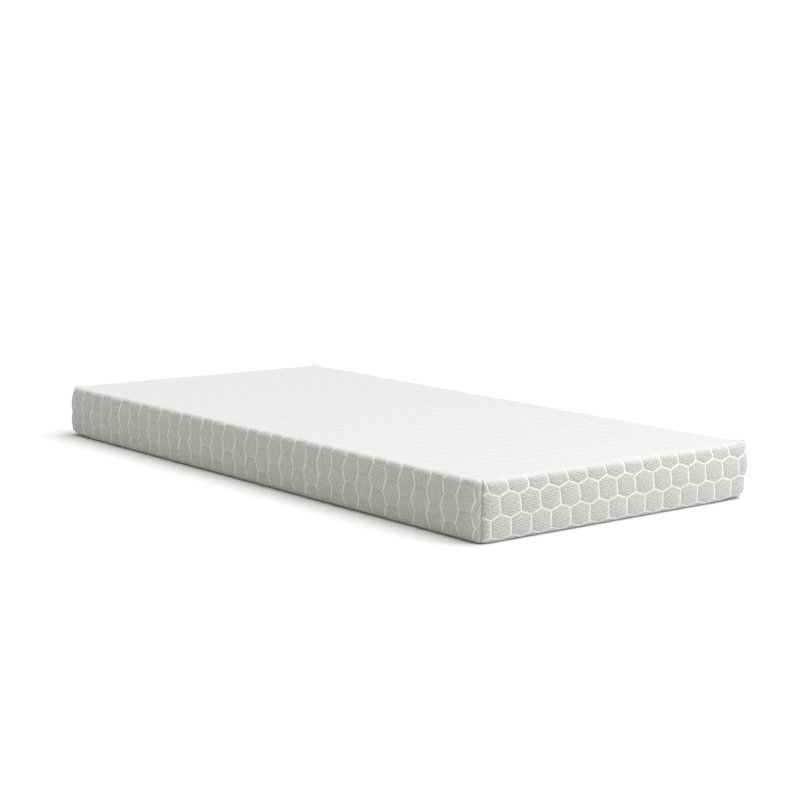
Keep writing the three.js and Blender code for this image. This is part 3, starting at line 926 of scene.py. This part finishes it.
# ---------- inside ----------
def make_slab(name, low, high, corner, low_edge, high_edge, step, cuts=()):
    """A closed block with rounded upright corners and rounded edges, as a fine mesh."""
    size_x, size_y = high.x - low.x, high.y - low.y
    fine = [0.3 * corner, 0.7 * corner, corner]
    xs = np.concatenate([lines_between(low.x, high.x, step, fine), cuts])
    u = (np.unique(np.round(xs, 7)) - low.x) / size_x
    v = (lines_between(low.y, high.y, step, fine) - low.y) / size_y

    def outline(u, v, inset):
        x = low.x + inset + u * (size_x - 2 * inset)
        y = low.y + inset + v * (size_y - 2 * inset)
        near_x = np.clip(x, low.x + corner, high.x - corner)
        near_y = np.clip(y, low.y + corner, high.y - corner)
        off_x, off_y = x - near_x, y - near_y
        far = np.hypot(off_x, off_y)
        shrink = np.where(far > 0, np.maximum(abs(off_x), abs(off_y)) / np.where(far > 0, far, 1), 1)
        return near_x + off_x * shrink, near_y + off_y * shrink

    bm = bmesh.new()

    def add_points(u, v, inset, z):
        x, y = outline(u, v, inset)
        return [bm.verts.new((px, py, z)) for px, py in zip(x.ravel(), y.ravel())]

    def add_grid(inset, z, up):
        grid_u, grid_v = np.meshgrid(u, v, indexing="ij")
        verts = add_points(grid_u, grid_v, inset, z)
        for a, b, c, d in grid_faces(len(u), len(v)):
            face = [verts[a], verts[d], verts[c], verts[b]]
            bm.faces.new(face if up else face[::-1])

    ones_u, ones_v = np.ones(len(u) - 1), np.ones(len(v) - 1)
    around_u = np.concatenate([u[:-1], ones_v, u[:0:-1], 0 * ones_v])
    around_v = np.concatenate([0 * ones_u, v[:-1], ones_u, v[:0:-1]])
    add_grid(low_edge, low.z, False)
    add_grid(high_edge, high.z, True)
    quarter = [(1 - math.sin(a), 1 - math.cos(a)) for a in np.linspace(0, math.pi / 2, 5)]
    profile = [(low_edge * inset, low.z + low_edge * rise) for inset, rise in quarter]
    wall = lines_between(low.z + low_edge, high.z - high_edge, step)
    profile += [(0, z) for z in wall[1:-1]]
    profile += [(high_edge * inset, high.z - high_edge * rise) for inset, rise in quarter[::-1]]
    rings = [add_points(around_u, around_v, inset, z) for inset, z in profile]
    for lower, upper in zip(rings, rings[1:]):
        for k in range(len(lower)):
            n = (k + 1) % len(lower)
            bm.faces.new([lower[k], lower[n], upper[n], upper[k]])
    bmesh.ops.remove_doubles(bm, verts=bm.verts, dist=0.01 * MM)
    mesh = bpy.data.meshes.new(name)
    bm.to_mesh(mesh)
    bm.free()
    piece = add_to_scene(name, mesh)
    shade_smooth(piece)
    return piece


def roughen(piece, depth, wavelength, seed):
    """Moves a piece's surface inwards by a seeded unevenness of up to that depth."""
    points = points_of(piece.data)
    wave = ripple(points[:, 0] + points[:, 2], points[:, 1] - points[:, 2], wavelength, seed)
    sunk = depth * np.clip(0.5 + 0.5 * wave, 0, 1)
    set_points(piece.data, points - normals_of(piece.data) * sunk[:, None])


def keep_faces(piece, keep):
    bm = bmesh.new()
    bm.from_mesh(piece.data)
    gone = [f for f in bm.faces if not keep(f.calc_center_median())]
    bmesh.ops.delete(bm, geom=gone, context="FACES")
    bm.to_mesh(piece.data)
    bm.free()


def make_foam():
    """The memory foam, the glue under it and the support foam."""
    corner, edge, cut_edge, film_edge, step = 21 * MM, 6 * MM, 0.6 * MM, 0.15 * MM, 16 * MM
    blocks = {
        "memory_foam_block": ("memory_foam_layer", cut_edge, edge),
        "support_foam_block": ("support_foam_core", edge, cut_edge),
        "sprayed_adhesive": ("foam_adhesive_film", film_edge, film_edge),
    }
    top, core, glue = (
        make_slab(name, *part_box(node), corner, low_edge, high_edge, step)
        for name, (node, low_edge, high_edge) in blocks.items()
    )
    roughen(top, 0.5 * MM, 0.25, SEED + 5)
    roughen(core, 0.7 * MM, 0.07, SEED + 6)
    roughen(glue, 0.12 * MM, 0.04, SEED + 7)
    return top, glue, core


def make_sleeve():
    """The fire sleeve: a knitted bag over the foam, and the flap that closes its end."""
    low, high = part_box("fire_sleeve_bag")
    flap_low, flap_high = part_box("fire_sleeve_end_flap")
    whole_high = Vector((flap_high.x, high.y, high.z))
    seam_places = (high.x - 6 * MM, high.x, flap_low.x, flap_low.x + 6 * MM)
    bag, flap = (
        make_slab(name, low, whole_high, 22 * MM, 7 * MM, 7 * MM, 14 * MM, seam_places)
        for name in ("sleeve_bag_knit", "sleeve_flap_knit")
    )
    keep_faces(bag, lambda c: c.x < high.x)
    keep_faces(flap, lambda c: c.x > flap_low.x)
    for piece in (bag, flap):
        roughen(piece, 1.1 * MM, 0.09, SEED + 8)
        gather_sleeve(piece, (high.x + flap_low.x) / 2)
    return bag, flap


def gather_sleeve(piece, seam):
    """Small folds where the end flap is sewn on."""
    points, normals = points_of(piece.data), normals_of(piece.data)
    around = points[:, 1] + points[:, 2]
    depth = 0.5 * MM * (1 + np.sin(math.tau * around / (40 * MM)))
    depth = depth * bell(points[:, 0] - seam, 14 * MM) * (np.abs(normals[:, 0]) < 0.5)
    set_points(piece.data, points - normals * depth[:, None])


# ---------- materials ----------
class Graph:
    """A material's node tree, with one call for each node."""

    def __init__(self, name):
        self.material = bpy.data.materials.new(name)
        self.material.use_nodes = True
        self.tree = self.material.node_tree
        self.shader = self.tree.nodes["Principled BSDF"]

    def set(self, socket, value):
        if isinstance(value, bpy.types.NodeSocket):
            self.tree.links.new(value, socket)
        elif socket.type == "RGBA":
            socket.default_value = (*value, 1)
        else:
            socket.default_value = value

    def node(self, kind, inputs=(), out=0, **settings):
        made = self.tree.nodes.new("ShaderNode" + kind)
        for key, value in settings.items():
            setattr(made, key, value)
        for key, value in dict(inputs).items():
            self.set(made.inputs[key], value)
        return made.outputs[out]

    def math(self, operation, *values):
        return self.node("Math", enumerate(values), operation=operation)

    def times(self, a, b):
        return self.math("MULTIPLY", a, b)

    def add(self, a, factor, b):
        """a * factor + b"""
        return self.math("MULTIPLY_ADD", a, factor, b)

    def mix(self, factor, a, b):
        return self.node("Mix", {0: factor, 6: a, 7: b}, out=2, data_type="RGBA")

    def tint(self, mask, strength, color, tint):
        """Moves the colour towards the tint where the mask is high."""
        return self.mix(self.times(mask, strength), color, tint)

    def ramp(self, value, low, high):
        """0 to 1 as value goes from low to high, smoothly."""
        made = {"Value": value, "From Min": low, "From Max": high}
        return self.node("MapRange", made, interpolation_type="SMOOTHSTEP")

    def noise(self, vector, scale, detail=2):
        return self.node("TexNoise", {"Vector": vector, "Scale": scale, "Detail": detail})

    def wave(self, value, pitch):
        """A sine between 0 and 1 that repeats at every pitch."""
        return self.add(self.math("SINE", self.times(value, math.tau / pitch)), 0.5, 0.5)

    def place(self):
        """Where the point is in the piece."""
        return self.node("TexCoord", out="Object")

    def split(self, vector):
        return self.node("SeparateXYZ", {0: vector}).node.outputs

    def stretch(self, vector, scale):
        return self.node("Mapping", {"Vector": vector, "Scale": scale})

    def attribute(self, name):
        return self.node("Attribute", attribute_name=name, out=2)

    def bump(self, height, distance):
        bump = self.node("Bump", {"Height": height, "Distance": distance, "Strength": 1})
        self.set(self.shader.inputs["Normal"], bump)

    def finish(self, color, roughness, sheen=0.0, sheen_roughness=0.5, metallic=0.0):
        inputs = self.shader.inputs
        self.set(inputs["Base Color"], color)
        self.set(inputs["Roughness"], roughness)
        self.set(inputs["Metallic"], metallic)
        self.set(inputs["Sheen Weight"], sheen)
        self.set(inputs["Sheen Roughness"], sheen_roughness)
        return self.material


RIB_PITCH = 6.7 * MM
RIB_LEAN = 0.387


def honeycomb_knit():
    """Slanting grey and white ribs of small loops inside the cells, and smooth pale yarn along the
    quilting lines. On top, painted light: an even pale grey stands for the bright light there and hides
    most of the grey."""
    g = Graph("honeycomb_knit")
    cloth = g.node("UVMap", uv_map="cloth")
    along, across, _ = g.split(cloth)
    side = g.attribute("side")
    drift = g.noise(cloth, 70)
    lean = g.add(drift, 5 * MM, g.add(across, RIB_LEAN, along))
    rib = g.wave(lean, RIB_PITCH)
    melange = g.noise(g.stretch(cloth, (190, 380, 1)), 1)
    grain = g.noise(cloth, 900)
    patches = g.noise(cloth, 16)
    course = g.wave(g.add(drift, 2 * MM, across), 1.35 * MM)
    wale = g.wave(lean, RIB_PITCH / 4)
    loops = g.times(course, g.add(wale, 0.6, 0.4))

    # the line attribute also carries the painted shade of the quilting lines that run along the long sides
    line = g.ramp(g.attribute("line"), 0.90, 0.945)
    grey = g.mix(rib, (0.42, 0.415, 0.39), (0.66, 0.655, 0.64))
    grey = g.mix(g.ramp(melange, 0.50, 0.68), grey, (0.78, 0.775, 0.76))
    grey = g.mix(g.ramp(melange, 0.46, 0.30), grey, (0.35, 0.345, 0.32))
    grey = g.tint(patches, 0.3, grey, (0.57, 0.565, 0.54))
    grey = g.tint(loops, 0.4, grey, (0.76, 0.755, 0.74))
    pale = g.mix(grain, (0.78, 0.78, 0.765), (0.92, 0.92, 0.91))
    sides = g.mix(line, grey, pale)
    # painted light: on top the knit's pattern is mostly replaced by an even pale grey, for the bright
    # light that falls there
    painted_top_light = g.mix(0.14, (0.805, 0.805, 0.81), sides)
    color = g.mix(side, painted_top_light, sides)

    yarn = g.add(loops, 0.5, g.add(melange, 0.3, g.add(grain, 0.4, rib)))
    calm = g.times(g.add(line, -0.75, 1), g.add(side, 0.82, 0.18))
    g.bump(g.times(yarn, calm), 0.7 * MM)
    return g.finish(color, 0.92, sheen=0.45, sheen_roughness=0.4)


def plain_knit():
    """Fine wales of a flat knit."""
    g = Graph("plain_knit")
    cloth = g.node("UVMap", uv_map="cloth")
    along, across, _ = g.split(cloth)
    wale = g.wave(g.add(g.noise(cloth, 60), 2 * MM, across), 1.8 * MM)
    course = g.wave(along, 1.3 * MM)
    melange = g.noise(g.stretch(cloth, (900, 260, 1)), 1, 3)
    loops = g.times(wale, g.add(course, 0.5, 0.5))
    color = g.mix(g.ramp(melange, 0.35, 0.7), (0.60, 0.595, 0.575), (0.76, 0.755, 0.74))
    color = g.tint(g.noise(cloth, 5), 0.4, color, (0.62, 0.61, 0.58))
    color = g.tint(loops, 0.35, color, (0.82, 0.815, 0.80))
    g.bump(g.add(melange, 0.4, loops), 0.4 * MM)
    return g.finish(color, 0.93, sheen=0.35, sheen_roughness=0.45)


def seam_thread():
    """Soft spun polyester, with its twist as fine bumps."""
    g = Graph("seam_thread")
    place = g.place()
    x, y, z = g.split(place)
    twist = g.wave(g.math("ADD", g.math("ADD", x, y), z), 0.9 * MM)
    fuzz = g.noise(place, 2600)
    color = g.mix(fuzz, (0.70, 0.695, 0.675), (0.90, 0.895, 0.88))
    color = g.tint(twist, 0.3, color, (0.62, 0.61, 0.59))
    g.bump(g.add(fuzz, 0.5, twist), 0.15 * MM)
    return g.finish(color, 0.7, sheen=0.4, sheen_roughness=0.4)


def label_satin():
    """Satin weave, with long floats across and a fine warp."""
    g = Graph("label_satin")
    place = g.place()
    x, _, z = g.split(place)
    weft = g.wave(z, 0.7 * MM)
    warp = g.wave(g.add(z, 0.4, x), 0.9 * MM)
    shade = g.noise(place, 120, 3)
    color = g.mix(shade, (0.80, 0.80, 0.79), (0.90, 0.90, 0.895))
    color = g.tint(weft, 0.12, color, (0.68, 0.68, 0.67))
    g.bump(g.add(warp, 0.5, weft), 0.12 * MM)
    return g.finish(color, g.add(shade, 0.2, 0.38), sheen=0.15, sheen_roughness=0.3)


def sleeve_knit():
    """Open rib knit of the fire sleeve."""
    g = Graph("sleeve_knit")
    place = g.place()
    x, y, z = g.split(place)
    rib = g.wave(g.math("ADD", y, z), 2.6 * MM)
    course = g.wave(x, 1.6 * MM)
    fuzz = g.noise(place, 800, 3)
    color = g.mix(fuzz, (0.78, 0.77, 0.73), (0.92, 0.915, 0.89))
    color = g.mix(g.times(rib, 0.25), (0.72, 0.71, 0.67), color)
    g.bump(g.add(course, 0.3, g.add(fuzz, 0.5, rib)), 0.5 * MM)
    return g.finish(color, 0.95, sheen=0.4, sheen_roughness=0.5)


def foam(name, tint, shadow, cell, depth, roughness):
    """Open-cell foam: small pores over a slow change of tone."""
    g = Graph(name)
    place = g.place()
    pores = g.node("TexVoronoi", {"Vector": place, "Scale": 1 / cell})
    open_cells = g.ramp(pores, 0.1, 0.75)
    color = g.mix(open_cells, shadow, tint)
    color = g.tint(g.noise(place, 9, 3), 0.25, color, shadow)
    g.bump(open_cells, depth)
    return g.finish(color, roughness, sheen=0.1, sheen_roughness=0.5)


def adhesive():
    """A sprayed web of glue."""
    g = Graph("sprayed_glue")
    place = g.place()
    web = g.node("TexVoronoi", {"Vector": place, "Scale": 160}, feature="DISTANCE_TO_EDGE")
    strands = g.ramp(web, 0.12, 0.0)
    wet = g.add(g.noise(place, 350, 3), 0.5, strands)
    color = g.mix(wet, (0.86, 0.83, 0.74), (0.93, 0.90, 0.80))
    g.bump(wet, 0.2 * MM)
    return g.finish(color, g.add(strands, -0.3, 0.6))


def zip_tape():
    """Herringbone weave: diagonals that turn back every few millimetres."""
    g = Graph("herringbone")
    place = g.place()
    x, _, z = g.split(place)
    twill = g.wave(g.math("ADD", x, g.math("PINGPONG", z, 1.7 * MM)), 0.9 * MM)
    fuzz = g.noise(place, 1500)
    color = g.mix(twill, (0.62, 0.62, 0.61), (0.84, 0.84, 0.83))
    color = g.tint(fuzz, 0.4, color, (0.90, 0.90, 0.89))
    g.bump(g.add(fuzz, 0.3, twill), 0.2 * MM)
    return g.finish(color, 0.8, sheen=0.2, sheen_roughness=0.4)


def nylon():
    """Nylon monofilament, rubbed a little by the slider."""
    g = Graph("nylon")
    wear = g.noise(g.place(), 500, 3)
    color = g.mix(wear, (0.80, 0.80, 0.79), (0.90, 0.90, 0.895))
    g.bump(wear, 0.05 * MM)
    return g.finish(color, g.add(wear, 0.25, 0.22))


def nickel():
    """Nickel plate with fine rubbing marks and a duller bloom."""
    g = Graph("nickel")
    place = g.place()
    marks = g.noise(g.stretch(place, (300, 4000, 4000)), 1, 3)
    bloom = g.noise(place, 220, 3)
    color = g.mix(bloom, (0.62, 0.61, 0.59), (0.76, 0.755, 0.74))
    g.bump(g.add(bloom, 0.6, marks), 0.03 * MM)
    return g.finish(color, g.add(bloom, 0.22, 0.2), metallic=1.0)


# ---------- stage ----------
def make_floor():
    size = 40
    floor = make_object(
        "floor",
        [(-size, -size, 0), (size, -size, 0), (size, size, 0), (-size, size, 0)],
        [(0, 1, 2, 3)],
    )
    g = Graph("floor_paint")
    floor.data.materials.append(g.finish((0.91, 0.907, 0.905), 0.9))


WARM_FILL = (0.36, 0.346, 0.317)  # light from the walls of the studio


def add_lamp(light, place, towards):
    """Puts a light in the scene, with its back towards that direction."""
    lamp = add_to_scene(light.name, light)
    lamp.location = place
    lamp.rotation_mode = "QUATERNION"
    lamp.rotation_quaternion = Vector(towards).to_track_quat("Z", "Y")
    return lamp


def add_sun(name, towards, energy, spread, color):
    sun = bpy.data.lights.new(name, "SUN")
    sun.energy, sun.angle, sun.color = energy, math.radians(spread), color
    add_lamp(sun, (0, 0, 0), towards)


def add_panel(name, place, target, size, power, color):
    """A square panel of light, aimed at the target."""
    panel = bpy.data.lights.new(name, "AREA")
    panel.energy, panel.size, panel.color = power, size, color
    lamp = add_lamp(panel, place, Vector(place) - Vector(target))
    lamp.visible_camera = False


def make_lights():
    add_sun("overhead_softbox", (0.2, 0.25, 0.93), 2.75, 60, (0.985, 0.99, 1.01))
    add_panel("side_softbox", (2.45, 1.0, 0.88), (HALF_LENGTH, 0, HEIGHT / 2), 1.0, 9.5, (0.97, 0.985, 1))

    world = bpy.data.worlds.new("studio")
    world.use_nodes = True
    bpy.context.scene.world = world
    tree = world.node_tree
    background = tree.nodes["Background"]
    path = tree.nodes.new("ShaderNodeLightPath")
    shade = tree.nodes.new("ShaderNodeMix")
    shade.data_type = "RGBA"
    shade.inputs[6].default_value = (*WARM_FILL, 1)
    shade.inputs[7].default_value = (1.05, 1.05, 1.05, 1)
    tree.links.new(path.outputs["Is Camera Ray"], shade.inputs[0])
    tree.links.new(shade.outputs[2], background.inputs["Color"])


def make_camera():
    """The photo's camera, from the fit to the mattress's corners."""
    data = bpy.data.cameras.new("camera")
    data.lens, data.sensor_width = 81.9, 36
    data.clip_start, data.clip_end = 0.1, 200
    camera = add_to_scene("camera", data)
    across, up, back = (
        Vector((0.64095, 0.76742, 0.01568)),
        Vector((-0.12289, 0.08243, 0.98899)),
        Vector((0.75768, -0.63582, 0.14714)),
    )
    axes = Matrix((across, up, back)).transposed()
    camera.matrix_world = Matrix.Translation((4.0176, -3.3092, 0.9618)) @ axes.to_4x4()
    bpy.context.scene.camera = camera


# ---------- assembly ----------
def dress(piece, material, replaces=()):
    """Gives a new piece its material, hides the parts that it replaces, and puts it on the mattress."""
    piece.data.materials.append(material)
    if replaces:
        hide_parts(*replaces)
    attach(piece, "mattress")


METAL_NODES = ["zip_top_stop_upper", "zip_top_stop_lower", "zip_bottom_stop", "zip_slider", "zip_pull_tab"]


def finish_metal():
    """Softens the edges of the zip's cast and pressed metal."""
    material = nickel()
    for node in METAL_NODES:
        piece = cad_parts[node]
        piece.data.materials.clear()
        piece.data.materials.append(material)
        bevel = piece.modifiers.new("soft_edges", "BEVEL")
        bevel.width, bevel.segments = 0.22 * MM, 2
        bevel.limit_method, bevel.angle_limit = "ANGLE", math.radians(35)


make_floor()
make_lights()
make_camera()
bpy.context.scene.view_settings.view_transform = "Standard"

cover = make_cover()
dress(cover, honeycomb_knit(), ["cover_top_and_sides"])

panel = make_base_panel()
dress(panel, plain_knit(), ["cover_base_panel"])

thread = seam_thread()
for place, seam in make_corner_seams().items():
    dress(seam, thread, ["corner_seam_" + place])
tape = make_seam_tape()
dress(tape, thread, ["underside_seam_tape"])
dress(make_underside_stitches(), thread)
dress(make_topstitch(), thread)

label, label_thread = make_label(cover)
dress(label, label_satin(), ["care_label"])
dress(label_thread, thread)

tape_cloth, coil_nylon = zip_tape(), nylon()
for side, sign in (("upper", 1), ("lower", -1)):
    woven = make_zip_tape("zip_tape_woven_" + side, "zip_tape_" + side)
    dress(woven, tape_cloth, ["zip_tape_" + side])
    coil = make_zip_coil("zip_coil_wire_" + side, "zip_coil_" + side, sign)
    dress(coil, coil_nylon, ["zip_coil_" + side])
finish_metal()

memory_foam, glue, support_foam = make_foam()
soft_foam = foam("memory_foam", (0.86, 0.88, 0.9), (0.7, 0.73, 0.76), 0.9 * MM, 0.2 * MM, 0.85)
dress(memory_foam, soft_foam, ["memory_foam_layer"])
dress(glue, adhesive(), ["foam_adhesive_film"])
firm_foam = foam("support_foam", (0.93, 0.91, 0.85), (0.74, 0.71, 0.62), 1.6 * MM, 0.5 * MM, 0.95)
dress(support_foam, firm_foam, ["support_foam_core"])

sleeve, flap = make_sleeve()
sleeve_cloth = sleeve_knit()
dress(sleeve, sleeve_cloth, ["fire_sleeve_bag"])
dress(flap, sleeve_cloth, ["fire_sleeve_end_flap"])
